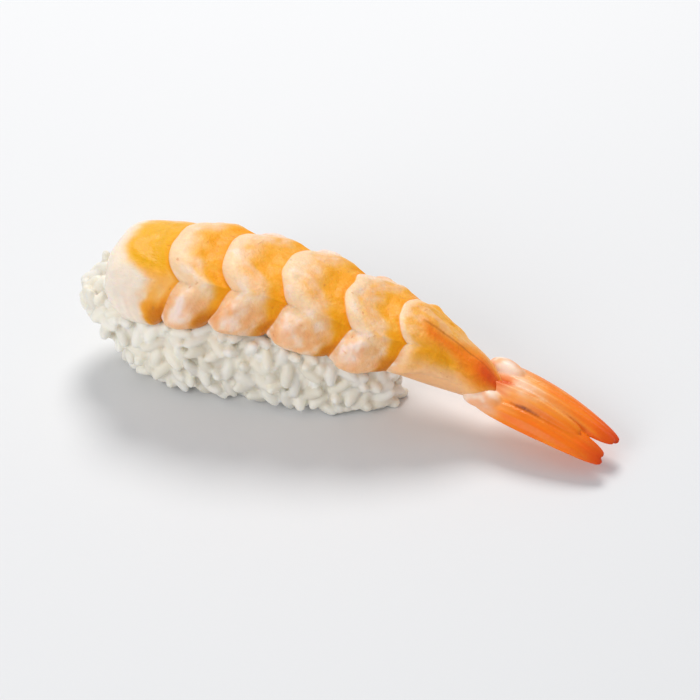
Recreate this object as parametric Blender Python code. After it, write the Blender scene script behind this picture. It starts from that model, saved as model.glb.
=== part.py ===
"""Shrimp nigiri: a boiled, butterflied shrimp with its tail fan, draped over a hand-pressed block of rice.

The shape functions below work in millimetres and meshes are made in metres. +X runs from the shrimp's
head end to its tail, +Z is up, and the rice stands on z = 0. The origin is under the middle of the
whole, so the rice fills the head end and the tail reaches out free over the floor at the other end.
"""

import math
import random

import bmesh
import bpy
import numpy as np
from mathutils import Matrix, Vector
from mathutils.bvhtree import BVHTree

MM = 0.001
PART = "shrimp_nigiri"

# Driving dimensions, in millimetres.
RICE_START, RICE_END = -46.0, 8.6  # ends of the rice core, along X
FLESH_START = -38.9  # cut head edge of the shrimp, on its back
FAN_START = 24.5  # where the tail fan leaves the last segment
FLESH_END = FAN_START + 3.0
GAP = 0.35  # between shrimp and rice

# The bed is the smooth surface that the shrimp lies on, as (x, value) stations.
BED_HEIGHT = [
    (-46, 19.6), (-36, 20.2), (-24, 20.0), (-14, 19.0), (-4, 17.0), (6, 14.2), (14, 11.8), (28, 8.0),
]
BED_HALF_WIDTH = [(-46, 9.4), (-34, 9.9), (-20, 9.9), (-8, 9.4), (4, 8.2), (14, 6.8), (28, 4.4)]
BED_WAIST = 0.44  # height of its widest level and of its end, as a share of its height
BED_ROUNDNESS = 2.35  # superellipse exponent of its section
BASE_ROUNDNESS = 3.0  # and of the part under its widest level
# How far that part would reach if the floor didn't cut it, in waist heights.
BASE_DEPTH = [(-46, 1.2), (-22, 1.15), (-6, 1.3), (14, 1.4)]
END_ROUNDNESS = 3.0  # superellipse exponent of its ends
END_UNDERCUT = 0.2  # power for how soon the underside rounds off at the ends
HEAD_LEAN = 0.22  # how far its head end leans out per millimetre of height over the waist
HEAD_STEP = 6.5  # how far the foot of the head end is set back
STEP_HEIGHT = (4.0, 12.0)  # between these two heights
HEAD_FADE = 20.0  # length over which lean and step fade out

# The flesh is an arched sheet over the bed that closes into a tapered tube at the tail.
# Its cover is how far it reaches down each side, in degrees.
FLESH_COVER = [(-46, 68), (-36, 67), (-26, 62), (-14, 58), (-4, 60), (6, 68), (14, 80), (28, 94)]
FLESH_THICKNESS = [(-46, 4.8), (-36, 5.8), (-20, 6.0), (-4, 6.0), (10, 5.2), (28, 4.0)]
SIDE_THINNING = 0.42  # share of the thickness lost towards the lower edges
CUT_ROUNDING = 3.2  # length over which the cut head edge rounds off
CUT_CORNERS = 4.0  # how far its lower corners are set back
CLOSING = (0.0, 17.0)  # the sheet turns into the tube between these two stations
TUBE_HALF_WIDTH = [(0, 9.6), (8, 8.6), (16, 6.4), (21, 4.9), (24.5, 4.1), (28, 1.6)]
TUBE_TOP = [(0, 22.4), (8, 20.6), (16, 16.9), (21, 14.0), (24.5, 12.0), (28, 8.8)]
TUBE_BOTTOM = [(0, 12.4), (8, 8.8), (16, 6.8), (21, 6.0), (24.5, 5.6), (28, 6.2)]
SWAY = [(-46, 0), (4, 0), (12, -0.2), (18, -0.8), (24.5, -2.0), (28, -3.2)]  # the tail bends to -Y

# Segment joints along the back, and how they bow round the body. Sides are shares of the cover.
JOINTS = [-29.9, -21.7, -12.0, -1.6, 8.6]
NOTCH_SIDE = 0.48  # where the back lobe meets the side lobe
NOTCH_BACK = 2.8  # the joint lies this much further back there
SEGMENT_RELIEF = 1.1  # how far a segment stands proud at its front
FRONT_RISE = 0.13  # share of its length over which it rises there
REAR_FALL = (0.3, 1.0)  # and between which it falls off
HEAD_RISE = 0.5  # the head segment has this share of the relief at its front
BACK_SOFTNESS = 0.5  # share of the relief that the back lacks, from its middle to its far side
SOFT_FROM, SOFT_TO = (-0.35, 0.0), (0.5, 0.75)  # where that starts and ends across the back
NOTCH_RELIEF = 0.45  # depth of the crease between back lobe and side lobe
NOTCH_WIDTH = 0.08
NOTCH_FADE = (6, 14)  # the creases fade out between these two stations
LOBE_DOME = 0.75  # how far the side lobes swell
DOME_FALL = (0.35, 1.0)
EDGE_FADE = (0.85, 1.0)  # the relief fades out between these sides

# The tail fan, in its own axes: along to its tip, across to +Y, and up.
FAN_ROOT = Vector((23.2, -0.9, 8.8))
FAN_TIP = Vector((51.0, -8.9, 2.1))
FAN_ARCH = 1.6  # how far the fan bows up in the middle of its length
FAN_ROLL = 7.0  # degrees it turns about its length
# Each blade: start along, start across, lift, length, width, thickness, degrees it splays outwards.
TELSON = (-3.6, -0.9, 1.2, 24.0, 4.4, 2.2, -0.6)
INNER_BLADE = (1.0, 2.1, 0.1, 24.6, 5.4, 1.9, -0.8)
OUTER_BLADE = (1.0, 4.1, -0.4, 25.0, 5.2, 2.1, -3.0)
BLADE_BLUNTNESS = 0.16  # fills out both ends of a blade
BLADE_ROOF = 0.9  # how far a blade's edges hang below its ridge
KNOB = (-0.4, 4.1, -0.1, 7.2, 4.3, 3.2, -6.0)  # the joint piece at the root of each pair of blades
KNOB_ROOF = 0.3

# Rice grains.
GRAIN_LENGTH, GRAIN_WIDTH = 5.6, 2.5
GRAIN_LIMIT = 200
GRAIN_SPACING = 2.65
GRAIN_LIFT = 0.25  # height of a grain's middle over the core
GRAIN_FLOOR = 0.9  # lowest height of a grain's middle
GRAIN_CLEARANCE = 0.5  # between a grain and the shrimp
GRAIN_DRAWS = 6000
GRAIN_SEED = 11

# Mesh density of the solids.
ACROSS = 16
STEPS_IN_SEGMENT = (0.0, 0.09, 0.22, 0.45, 0.72, 0.93)

RICE_LOOK = ("steamed_rice", (0.80, 0.78, 0.72), 0.45)
SHRIMP_LOOK = ("boiled_shrimp", (0.93, 0.52, 0.22), 0.38)


def along(stations, x):
    """A smooth curve through (x, value) stations, flat beyond its ends."""
    xs, ys = (np.array(column, float) for column in zip(*stations))
    slope = np.gradient(ys, xs)
    x = np.clip(np.asarray(x, float), xs[0], xs[-1])
    i = np.clip(np.searchsorted(xs, x) - 1, 0, len(xs) - 2)
    width = xs[i + 1] - xs[i]
    t = (x - xs[i]) / width
    a = (1 + 2 * t) * (1 - t) ** 2 * ys[i] + t * (1 - t) ** 2 * width * slope[i]
    b = t * t * (3 - 2 * t) * ys[i + 1] + t * t * (t - 1) * width * slope[i + 1]
    return a + b


def ease(low, high, x):
    """0 below low, 1 above high, smooth between."""
    t = np.clip((np.asarray(x, float) - low) / (high - low), 0, 1)
    return t * t * (3 - 2 * t)


def signed_power(value, exponent):
    return np.sign(value) * np.abs(value) ** exponent


def end_rounding(x, start, end):
    """Scale of a section near the ends of a superellipsoid that runs from start to end."""
    middle, half = (start + end) / 2, (end - start) / 2
    share = np.clip(np.abs((x - middle) / half), 0, 1)
    return (1 - share**END_ROUNDNESS) ** (1 / END_ROUNDNESS)


def loaf(x, angle, half_width, height, scale):
    """Points of a loaf-shaped section at x, scaled about its waist and cut off by the floor.

    The angle, in radians, runs from the top to either side.
    """
    waist = BED_WAIST * height
    y = scale * half_width * signed_power(np.sin(angle), 2 / BED_ROUNDNESS)
    over = (height - waist) * signed_power(np.cos(angle), 2 / BED_ROUNDNESS)
    under = along(BASE_DEPTH, x) * waist * signed_power(np.cos(angle), 2 / BASE_ROUNDNESS)
    z = waist + np.where(np.cos(angle) > 0, scale * over, scale**END_UNDERCUT * under)
    z = np.maximum(z, 0)
    lean = HEAD_STEP * (1 - ease(*STEP_HEIGHT, z)) - HEAD_LEAN * np.maximum(z - waist, 0)
    lean = lean * (1 - ease(RICE_START, RICE_START + HEAD_FADE, x))
    return np.stack([x + lean, y + along(SWAY, x), z], axis=-1)


def rice_surface(x, angle):
    """The bare rice core, rounded off at both ends."""
    half_width, height = along(BED_HALF_WIDTH, x) - GAP, along(BED_HEIGHT, x) - GAP
    return loaf(x, angle, half_width, height, end_rounding(x, RICE_START, RICE_END))


def bed(x, angle):
    """The surface under the shrimp. It rounds off at the head end only."""
    middle = (RICE_START + RICE_END) / 2
    scale = end_rounding(np.minimum(x, middle), RICE_START - GAP, RICE_END + GAP)
    return loaf(x, angle, along(BED_HALF_WIDTH, x), along(BED_HEIGHT, x), scale)


def normals(surface, u, v, step_u, step_v):
    """Unit normals of surface(u, v)."""
    du = surface(u + step_u, v) - surface(u - step_u, v)
    dv = surface(u, v + step_v) - surface(u, v - step_v)
    n = np.cross(du, dv)
    return n / np.maximum(np.linalg.norm(n, axis=-1, keepdims=True), 1e-9)


def bow(q, c):
    """How far back the joints lie at c, which is 0 on the back and -1 or 1 at the lower edges."""
    side = np.abs(c)
    back_lobe = NOTCH_BACK * np.minimum(side / NOTCH_SIDE, 1) ** 2.8
    down = np.clip((side - NOTCH_SIDE) / (1 - NOTCH_SIDE), 0, 1)
    side_lobe = NOTCH_BACK * down**0.7
    fade = ease(FLESH_START, JOINTS[0], q) * (1 - ease(JOINTS[-1] + 2, FAN_START - 2, q))
    return (back_lobe - side_lobe) * fade


def smooth_flesh(q, c, outside):
    """The flesh without its segment relief. q runs along the back and outside is 1 or 0."""
    corners = CUT_CORNERS * c**4 * (1 - ease(FLESH_START, FLESH_START + 3 * CUT_CORNERS, q))
    x = q + bow(q, c) + corners
    angle = c * np.radians(along(FLESH_COVER, x))
    lip = (1 - SIDE_THINNING * c**2) * np.sqrt(np.maximum(1 - np.abs(c) ** 8, 0))
    from_cut = np.clip(1 - (q - FLESH_START) / CUT_ROUNDING, 0, 1)
    cut = 0.12 + 0.88 * np.sqrt(1 - from_cut**2.5)
    thickness = outside * along(FLESH_THICKNESS, x) * lip * cut
    sheet = bed(x, angle) + normals(bed, x, angle, 0.05, 0.01) * thickness[..., None]
    top, bottom = along(TUBE_TOP, x), along(TUBE_BOTTOM, x)
    rise = np.cos(c * math.pi / 2) * (top - bottom) / 2
    y = along(TUBE_HALF_WIDTH, x) * np.sin(c * math.pi / 2) + along(SWAY, x)
    tube = np.stack([x, y, (top + bottom) / 2 + np.where(outside > 0, rise, -rise)], axis=-1)
    closed = ease(*CLOSING, x)[..., None]
    return (1 - closed) * sheet + closed * tube


def relief(q, c):
    """Height of the segments over the smooth flesh: each rises at its front and falls off backwards."""
    fronts = np.array([FLESH_START, *JOINTS])
    ends = np.array([*JOINTS, FAN_START])
    i = np.clip(np.searchsorted(fronts, q, side="right") - 1, 0, len(fronts) - 1)
    t = np.clip((q - fronts[i]) / (ends[i] - fronts[i]), 0, 1)
    rise = np.where(i == 0, HEAD_RISE, ease(0, FRONT_RISE, t))
    fall = np.where(i == len(fronts) - 1, 1 - 0.8 * ease(0.1, 0.8, t), 1 - ease(*REAR_FALL, t))
    notch = np.exp(-(((np.abs(c) - NOTCH_SIDE) / NOTCH_WIDTH) ** 2)) * (1 - ease(*NOTCH_FADE, q))
    lower_edge = 1 - ease(*EDGE_FADE, np.abs(c))
    crown = 1 - BACK_SOFTNESS * ease(*SOFT_FROM, c) * (1 - ease(*SOFT_TO, c))
    height = (SEGMENT_RELIEF * crown * rise * fall - NOTCH_RELIEF * notch) * lower_edge
    down = np.clip((np.abs(c) - NOTCH_SIDE) / (1 - NOTCH_SIDE), 0, 1)
    inner = (i > 0) * (i < len(fronts) - 1)
    height = height + LOBE_DOME * np.sin(math.pi * down) * rise * (1 - ease(*DOME_FALL, t)) * inner
    return height * (1 - ease(FAN_START - 4, FAN_START, q))


def flesh(q, c, outside):
    """The surface of the flesh, its outside with the relief of the segments."""
    smooth = smooth_flesh(q, c, outside)
    n = normals(lambda a, b: smooth_flesh(a, b, outside), q, c, 0.05, 0.004)
    return smooth + n * (outside * relief(q, c))[..., None]


def flesh_stations():
    """Values of q for the rings, closer together at each joint."""
    length = JOINTS[0] - FLESH_START
    head = [FLESH_START + share * length for share in (0, 0.07, 0.2, 0.4, 0.65, 0.9)]
    ends = [*JOINTS[1:], FAN_START]
    middle = [a + t * (b - a) for a, b in zip(JOINTS, ends) for t in STEPS_IN_SEGMENT]
    return np.array([*head, *middle, FAN_START, (FAN_START + FLESH_END) / 2, FLESH_END])


def new_object(name, mesh, look):
    """An object with a material of its own, in the part's collection."""
    material = bpy.data.materials.new(look[0])
    material.use_nodes = True
    shader = material.node_tree.nodes["Principled BSDF"]
    shader.inputs["Base Color"].default_value = (*look[1], 1)
    shader.inputs["Roughness"].default_value = look[2]
    shader.inputs["Metallic"].default_value = 0
    mesh.materials.clear()
    mesh.materials.append(material)
    obj = bpy.data.objects.new(name, mesh)
    bpy.data.collections[PART].objects.link(obj)
    return obj


def mesh_from(bm, name):
    """A mesh in metres from a bmesh in millimetres."""
    bmesh.ops.scale(bm, vec=(MM, MM, MM), verts=bm.verts)
    bmesh.ops.recalc_face_normals(bm, faces=bm.faces)
    mesh = bpy.data.meshes.new(name)
    bm.to_mesh(mesh)
    bm.free()
    return mesh


def flesh_mesh():
    """A loft of closed rings: over the outside from edge to edge, then back along the inside."""
    turn = np.linspace(0, math.pi, ACROSS + 1)
    across = 0.5 * np.cos(turn) + 0.5 * np.linspace(1, -1, ACROSS + 1)
    q, c = np.meshgrid(flesh_stations(), across, indexing="ij")
    upper = flesh(q, c, np.ones_like(q))
    lower = flesh(q, c, np.zeros_like(q))
    bm = bmesh.new()
    rings = []
    for over, under in zip(upper, lower):
        points = [*over, *under[-2:0:-1]]
        rings.append([bm.verts.new(p) for p in points])
    count = len(rings[0])
    for ring, following in zip(rings, rings[1:]):
        for i in range(count):
            j = (i + 1) % count
            bm.faces.new((ring[i], ring[j], following[j], following[i]))
    for ring in (rings[0], rings[-1]):
        for i in range(1, ACROSS):
            near, far = ring[i], ring[i + 1]
            below, beside = ring[-i], ring[(-i - 1) % count]
            corners = [near, far, below] if far is beside else [near, far, beside, below]
            bm.faces.new(corners)
        bm.faces.new((ring[0], ring[1], ring[-1]))
    return mesh_from(bm, "flesh")


def fan_axes():
    """Rotation of the tail fan: along to the tip, across, and up."""
    forward = (FAN_TIP - FAN_ROOT).normalized()
    level = Vector((0, 0, 1)).cross(forward).normalized()
    across = Matrix.Rotation(math.radians(FAN_ROLL), 3, forward) @ level
    return Matrix((forward, across, forward.cross(across))).transposed()


def blade_mesh(name, shape, side, roof=BLADE_ROOF, segments=12, rings=10):
    """A pointed leaf from a sphere, ridged along its middle. Side is 1 for +Y and -1 for -Y."""
    start, across, lift, length, width, thickness, splay = shape
    bm = bmesh.new()
    bmesh.ops.create_uvsphere(bm, u_segments=segments, v_segments=rings, radius=1)
    turn = Matrix.Rotation(math.radians(splay * side), 3, "Z")
    axes = fan_axes()
    length_of_fan = (FAN_TIP - FAN_ROOT).length
    for vert in bm.verts:
        reach, sideways, height = vert.co.z, vert.co.x, vert.co.y
        t = (reach + 1) / 2
        blunt = max(1 - reach * reach, 1e-6) ** -BLADE_BLUNTNESS
        sideways *= blunt * width / 2 * (1.12 - 0.4 * t)
        height = height * thickness / 2 - roof * (2 * sideways / width) ** 2
        local = turn @ Vector((t * length, sideways, height))
        local += Vector((start, across * side, lift))
        reached = min(max(local.x / length_of_fan, 0), 1)
        local.z += FAN_ARCH * 4 * reached * (1 - reached)
        vert.co = FAN_ROOT + axes @ local
    return mesh_from(bm, name)


def core_mesh():
    """The rice core, from a sphere whose poles are the two ends."""
    bm = bmesh.new()
    bmesh.ops.create_uvsphere(bm, u_segments=24, v_segments=14, radius=1)
    middle, half = (RICE_START + RICE_END) / 2, (RICE_END - RICE_START) / 2
    for vert in bm.verts:
        angle = math.atan2(vert.co.x, vert.co.y)
        x = middle + half * vert.co.z
        vert.co = rice_surface(np.array(x), np.array(angle))
    return mesh_from(bm, "core")


def fuse(name, meshes, look):
    """One closed solid from meshes that overlap, with sealed hollows filled and loose scraps dropped."""
    helpers = bpy.data.collections.new(name + "_pieces")
    bpy.context.scene.collection.children.link(helpers)
    base = bpy.data.objects.new(name + "_base", meshes[0])
    bpy.context.scene.collection.objects.link(base)
    for i, mesh in enumerate(meshes[1:]):
        helpers.objects.link(bpy.data.objects.new(f"{name}_piece_{i}", mesh))
    join = base.modifiers.new("join", "BOOLEAN")
    join.operation = "UNION"
    join.operand_type = "COLLECTION"
    join.collection = helpers
    join.solver = "MANIFOLD"
    bpy.context.view_layer.update()
    evaluated = base.evaluated_get(bpy.context.evaluated_depsgraph_get())
    joined = bpy.data.meshes.new_from_object(evaluated)
    joined.name = name
    for piece in [*helpers.objects, base]:
        bpy.data.objects.remove(piece)
    bpy.data.collections.remove(helpers)
    keep_largest_shell(joined)
    return new_object(name, joined, look)


def keep_largest_shell(mesh):
    """Removes every connected shell but the one with the most faces, and makes all faces triangles."""
    bm = bmesh.new()
    bm.from_mesh(mesh)
    bm.faces.ensure_lookup_table()
    unseen = set(bm.faces)
    shells = []
    while unseen:
        shell, front = set(), [unseen.pop()]
        while front:
            face = front.pop()
            shell.add(face)
            near = {other for edge in face.edges for other in edge.link_faces} & unseen
            unseen -= near
            front.extend(near)
        shells.append(shell)
    shells.sort(key=len)
    for shell in shells[:-1]:
        bmesh.ops.delete(bm, geom=list(shell), context="FACES")
    bmesh.ops.triangulate(bm, faces=bm.faces)
    bm.to_mesh(mesh)
    bm.free()


def grain_mesh(place):
    """One grain of about 30 triangles, put in place by a matrix."""
    bm = bmesh.new()
    bmesh.ops.create_uvsphere(bm, u_segments=5, v_segments=4, radius=0.5)
    bmesh.ops.scale(bm, vec=(GRAIN_WIDTH, GRAIN_WIDTH, GRAIN_LENGTH), verts=bm.verts)
    bmesh.ops.transform(bm, matrix=place, verts=bm.verts)
    return mesh_from(bm, "grain")


def grain_places(shrimp):
    """Matrices of grains spread evenly over the bare rice, clear of the floor and of the shrimp."""
    draw = random.Random(GRAIN_SEED)
    shrimp_bm = bmesh.new()
    shrimp_bm.from_mesh(shrimp.data)
    tree = BVHTree.FromBMesh(shrimp_bm)
    shrimp_bm.free()
    unit = bmesh.new()
    bmesh.ops.create_uvsphere(unit, u_segments=5, v_segments=4, radius=0.5)
    bmesh.ops.scale(unit, vec=(GRAIN_WIDTH, GRAIN_WIDTH, GRAIN_LENGTH), verts=unit.verts)
    corners = [vert.co.copy() for vert in unit.verts]
    unit.free()
    dice = np.random.default_rng(GRAIN_SEED)
    middle, half = (RICE_START + RICE_END) / 2, (RICE_END - RICE_START) / 2
    x = middle + half * np.sin(math.pi / 2 * dice.uniform(-1, 1, GRAIN_DRAWS))
    angle = dice.uniform(-0.8, 0.8, GRAIN_DRAWS) * math.pi
    outward = normals(rice_surface, x, angle, 0.02, 0.01)
    lift = GRAIN_LIFT + dice.uniform(-0.3, 0.3, GRAIN_DRAWS)
    middles = rice_surface(x, angle) + outward * lift[:, None]
    centres, places = [], []
    for centre, normal in zip(map(Vector, middles), map(Vector, outward)):
        if len(places) == GRAIN_LIMIT:
            break
        if centre.z < GRAIN_FLOOR or any((centre - other).length < GRAIN_SPACING for other in centres):
            continue
        place = clear_place(centre, normal, corners, tree, draw)
        if place is not None:
            centres.append(centre)
            places.append(place)
    return places


def clear_place(centre, normal, corners, tree, draw, tries=12):
    """A matrix that lays a grain along the surface, or None where it would meet shrimp or floor."""
    for _ in range(tries):
        spin = Matrix.Rotation(draw.uniform(0, math.pi), 3, "Z")
        tilt = Matrix.Rotation(math.radians(draw.uniform(65, 100)), 3, "X")
        turn = normal.to_track_quat("Z", "Y").to_matrix() @ spin @ tilt
        points = [turn @ corner + centre for corner in corners]
        lowest = min(point.z for point in points)
        if lowest < 0:
            lift = Vector((0, 0, 0.02 - lowest))
            points = [point + lift for point in points]
        else:
            lift = Vector()
        if all(is_clear(point, tree) for point in points):
            return Matrix.Translation(centre + lift) @ turn.to_4x4()
    return None


def is_clear(point, tree):
    """Whether a point keeps its distance from the shrimp and lies outside it."""
    nearest, normal, _, distance = tree.find_nearest(point * MM)
    outside = (point * MM - nearest).dot(normal) > 0
    return outside and distance > GRAIN_CLEARANCE * MM


def build():
    for obj in list(bpy.data.objects):
        bpy.data.objects.remove(obj)
    part = bpy.data.collections.new(PART)
    bpy.context.scene.collection.children.link(part)
    tail = [blade_mesh("telson", TELSON, 1)]
    for side in (1, -1):
        tail.append(blade_mesh("inner_blade", INNER_BLADE, side))
        tail.append(blade_mesh("outer_blade", OUTER_BLADE, side))
        tail.append(blade_mesh("knob", KNOB, side, roof=KNOB_ROOF))
    shrimp = fuse("shrimp", [flesh_mesh(), *tail], SHRIMP_LOOK)
    grains = [grain_mesh(place) for place in grain_places(shrimp)]
    rice = fuse("rice", [core_mesh(), *grains], RICE_LOOK)
    for obj in (shrimp, rice):
        obj.data.shade_smooth()
        obj.data.set_sharp_from_angle(angle=math.radians(50))


build()
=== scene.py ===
"""Shrimp nigiri: the fine surfaces, materials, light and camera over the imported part.

The shape functions work in millimetres, with the named sizes of the part's source, and meshes are made
in metres. +X runs from the shrimp's head end to its tail, +Z is up, and the rice stands on z = 0.
"""

import itertools
import math
from types import SimpleNamespace

import bmesh
import bpy
import numpy as np
from mathutils import Matrix, Vector
from mathutils.bvhtree import BVHTree
from mathutils.kdtree import KDTree


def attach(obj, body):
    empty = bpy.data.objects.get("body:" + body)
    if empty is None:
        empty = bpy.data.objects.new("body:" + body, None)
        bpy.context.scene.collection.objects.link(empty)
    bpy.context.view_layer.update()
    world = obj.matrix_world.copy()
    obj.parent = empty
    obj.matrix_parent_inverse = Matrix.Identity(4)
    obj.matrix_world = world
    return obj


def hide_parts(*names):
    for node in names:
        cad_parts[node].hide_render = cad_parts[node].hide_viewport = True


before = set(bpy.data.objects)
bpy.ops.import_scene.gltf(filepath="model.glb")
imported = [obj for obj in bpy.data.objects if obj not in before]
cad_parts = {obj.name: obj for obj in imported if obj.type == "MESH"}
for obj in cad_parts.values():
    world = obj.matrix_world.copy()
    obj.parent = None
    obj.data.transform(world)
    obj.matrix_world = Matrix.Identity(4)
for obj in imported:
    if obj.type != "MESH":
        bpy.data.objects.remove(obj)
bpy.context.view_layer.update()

MM = 0.001

# The part's named sizes, in millimetres.
RICE_START, RICE_END = -46.0, 8.6
FLESH_START = -38.9
FAN_START = 24.5
FLESH_END = FAN_START + 3.0
GAP = 0.35
BED_HEIGHT = [
    (-46, 19.6), (-36, 20.2), (-24, 20.0), (-14, 19.0), (-4, 17.0), (6, 14.2), (14, 11.8), (28, 8.0),
]
BED_HALF_WIDTH = [(-46, 9.4), (-34, 9.9), (-20, 9.9), (-8, 9.4), (4, 8.2), (14, 6.8), (28, 4.4)]
BED_WAIST = 0.44
BED_ROUNDNESS = 2.35
BASE_ROUNDNESS = 3.0
BASE_DEPTH = [(-46, 1.2), (-22, 1.15), (-6, 1.3), (14, 1.4)]
END_ROUNDNESS = 3.0
END_UNDERCUT = 0.2
HEAD_LEAN = 0.22
HEAD_STEP = 6.5
STEP_HEIGHT = (4.0, 12.0)
HEAD_FADE = 20.0
FLESH_COVER = [(-46, 68), (-36, 67), (-26, 62), (-14, 58), (-4, 60), (6, 68), (14, 80), (28, 94)]
FLESH_THICKNESS = [(-46, 4.8), (-36, 5.8), (-20, 6.0), (-4, 6.0), (10, 5.2), (28, 4.0)]
SIDE_THINNING = 0.42
CUT_ROUNDING = 3.2
CUT_CORNERS = 4.0
CLOSING = (0.0, 17.0)
TUBE_HALF_WIDTH = [(0, 9.6), (8, 8.6), (16, 6.4), (21, 4.9), (24.5, 4.1), (28, 1.6)]
TUBE_TOP = [(0, 22.4), (8, 20.6), (16, 16.9), (21, 14.0), (24.5, 12.0), (28, 8.8)]
TUBE_BOTTOM = [(0, 12.4), (8, 8.8), (16, 6.8), (21, 6.0), (24.5, 5.6), (28, 6.2)]
SWAY = [(-46, 0), (4, 0), (12, -0.2), (18, -0.8), (24.5, -2.0), (28, -3.2)]
JOINTS = [-29.9, -21.7, -12.0, -1.6, 8.6]
NOTCH_SIDE = 0.48
NOTCH_BACK = 2.8
SEGMENT_RELIEF = 1.1
HEAD_RISE = 0.5
REAR_FALL = (0.3, 1.0)
BACK_SOFTNESS = 0.5
SOFT_FROM, SOFT_TO = (-0.35, 0.0), (0.5, 0.75)
NOTCH_FADE = (6, 14)
DOME_FALL = (0.35, 1.0)
FAN_ROOT = Vector((23.2, -0.9, 8.8))
FAN_TIP = Vector((51.0, -8.9, 2.1))
FAN_LENGTH = (FAN_TIP - FAN_ROOT).length
FAN_ARCH = 1.6
FAN_ROLL = 7.0
TELSON = (-3.6, -0.9, 1.2, 24.0, 4.4, 2.2, -0.6)
INNER_BLADE = (1.0, 2.1, 0.1, 24.6, 5.4, 1.9, -0.8)
OUTER_BLADE = (1.0, 4.1, -0.4, 25.0, 5.2, 2.1, -3.0)
BLADE_BLUNTNESS = 0.16
BLADE_ROOF = 0.9
KNOB = (-0.4, 4.1, -0.1, 7.2, 4.3, 3.2, -6.0)
KNOB_ROOF = 0.3
FAN_STEP = 0.16
FAN_SOFTENING = 5
FAN_BLENDING = 3

# Density of the fine meshes.
FLESH_RINGS = 400
FLESH_COLUMNS = 170
UNDERSIDE_COLUMNS = 24
BLADE_SEGMENTS, BLADE_RINGS = 56, 72
GRAIN_SEGMENTS, GRAIN_RINGS = 14, 10
CORE_SEGMENTS, CORE_RINGS = 64, 40

# Rice grains, in millimetres and degrees.
GRAIN_LENGTH, GRAIN_WIDTH = 4.6, 2.2
LENGTH_SPREAD, WIDTH_SPREAD = (0.86, 1.08), (0.9, 1.06)  # least and most, as shares of the above
THICKNESS_SPREAD = (0.86, 1.0)  # as shares of the width
GRAIN_PLUMPNESS = 0.82  # exponent of a grain's outline; lower is blunter
GRAIN_TILT = 26  # how much grains rise out of the surface, as a standard deviation
GRAIN_BEND = 0.5
GRAIN_LUMPS = 0.06
GRAIN_SEED = 5
GRAIN_TRIES = 9000  # places tried in each layer
# Layers: depth, how near grains may lie as a share of their thickness, and how many at most.
GRAIN_LAYERS = [(0.0, 0.6, 1100), (0.6, 0.6, 500), (1.3, 0.5, 260)]
LAYER_SPREAD = 0.25  # how far grains stray from their layer's depth
FLOOR_DIP = 0.5  # how far grains may reach below the floor, where they are cut off flat
SHRIMP_DIP = 0.7  # how far they may press into the shrimp's underside
FLOOR_GAP, CORE_FLOOR = 0.02, 0.15  # height of the lowest points of the grains, and of the core
CORE_INSET = 1.0
BALLS, BALL_REACH = 5, 0.8  # balls that stand for a grain, and how far they keep inside its ends
SHADE_SPREAD = (0.94, 1.02)  # brightness of the grains, least and most
WARMTH, WARMTH_SPREAD = (0, -0.3, -1), (-4, 5)  # a step towards yellow, and how many each grain takes
STICKING = 0.276  # size of the steps at which touching grains run together
SOFTENING = 3

# Colours as they look, red, green and blue from 0 to 255.
CREAM = (252, 213, 170)
PEACH = (255, 190, 122)
ORANGE = (253, 164, 0)
GOLD = (238, 172, 0)
DEEP = (246, 144, 0)
BROWN = (190, 104, 10)
POOL = (212, 124, 0)
# painted highlight on the upper front of each side lobe
PAINTED_HIGHLIGHT = (250, 224, 214)
PINK_WHITE = (248, 190, 142)
BLUSH = (254, 226, 206)
LOW_PEACH = (246, 172, 112)
SPECK = (196, 120, 70)
HEAD_WHITE = (246, 232, 216)
# pale lower edge of the last segment: partly its own colour, partly painted light on the down-facing
# flank
PALE_EDGE_AND_PAINTED_LIGHT = (255, 196, 144)
STREAK = (253, 130, 0)
HINGE_RED = (232, 84, 6)
TAIL_BASE = (255, 198, 168)
TAIL_ORANGE = (255, 124, 0)
TAIL_TIP = (214, 58, 0)
PALE_FAN = (255, 212, 180)
FAN_GOLD = (255, 170, 84)
# painted shadow in the gap between the telson and the near inner blade
SLIT_SHADOW = (84, 26, 0)
THREAD_PALE = (255, 178, 96)
RICE_WHITE = (241, 236, 224)


# Shape functions, as in the part.
def along(stations, x):
    """A smooth curve through (x, value) stations, flat beyond its ends."""
    xs, ys = (np.array(column, float) for column in zip(*stations))
    slope = np.gradient(ys, xs)
    x = np.clip(np.asarray(x, float), xs[0], xs[-1])
    i = np.clip(np.searchsorted(xs, x) - 1, 0, len(xs) - 2)
    width = xs[i + 1] - xs[i]
    t = (x - xs[i]) / width
    a = (1 + 2 * t) * (1 - t) ** 2 * ys[i] + t * (1 - t) ** 2 * width * slope[i]
    b = t * t * (3 - 2 * t) * ys[i + 1] + t * t * (t - 1) * width * slope[i + 1]
    return a + b


def ease(low, high, x):
    """0 below low, 1 above high, smooth between."""
    t = np.clip((np.asarray(x, float) - low) / (high - low), 0, 1)
    return t * t * (3 - 2 * t)


def signed_power(value, exponent):
    return np.sign(value) * np.abs(value) ** exponent


def end_rounding(x, start, end):
    """Scale of a section near the ends of a superellipsoid that runs from start to end."""
    middle, half = (start + end) / 2, (end - start) / 2
    share = np.clip(np.abs((x - middle) / half), 0, 1)
    return (1 - share**END_ROUNDNESS) ** (1 / END_ROUNDNESS)


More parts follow.
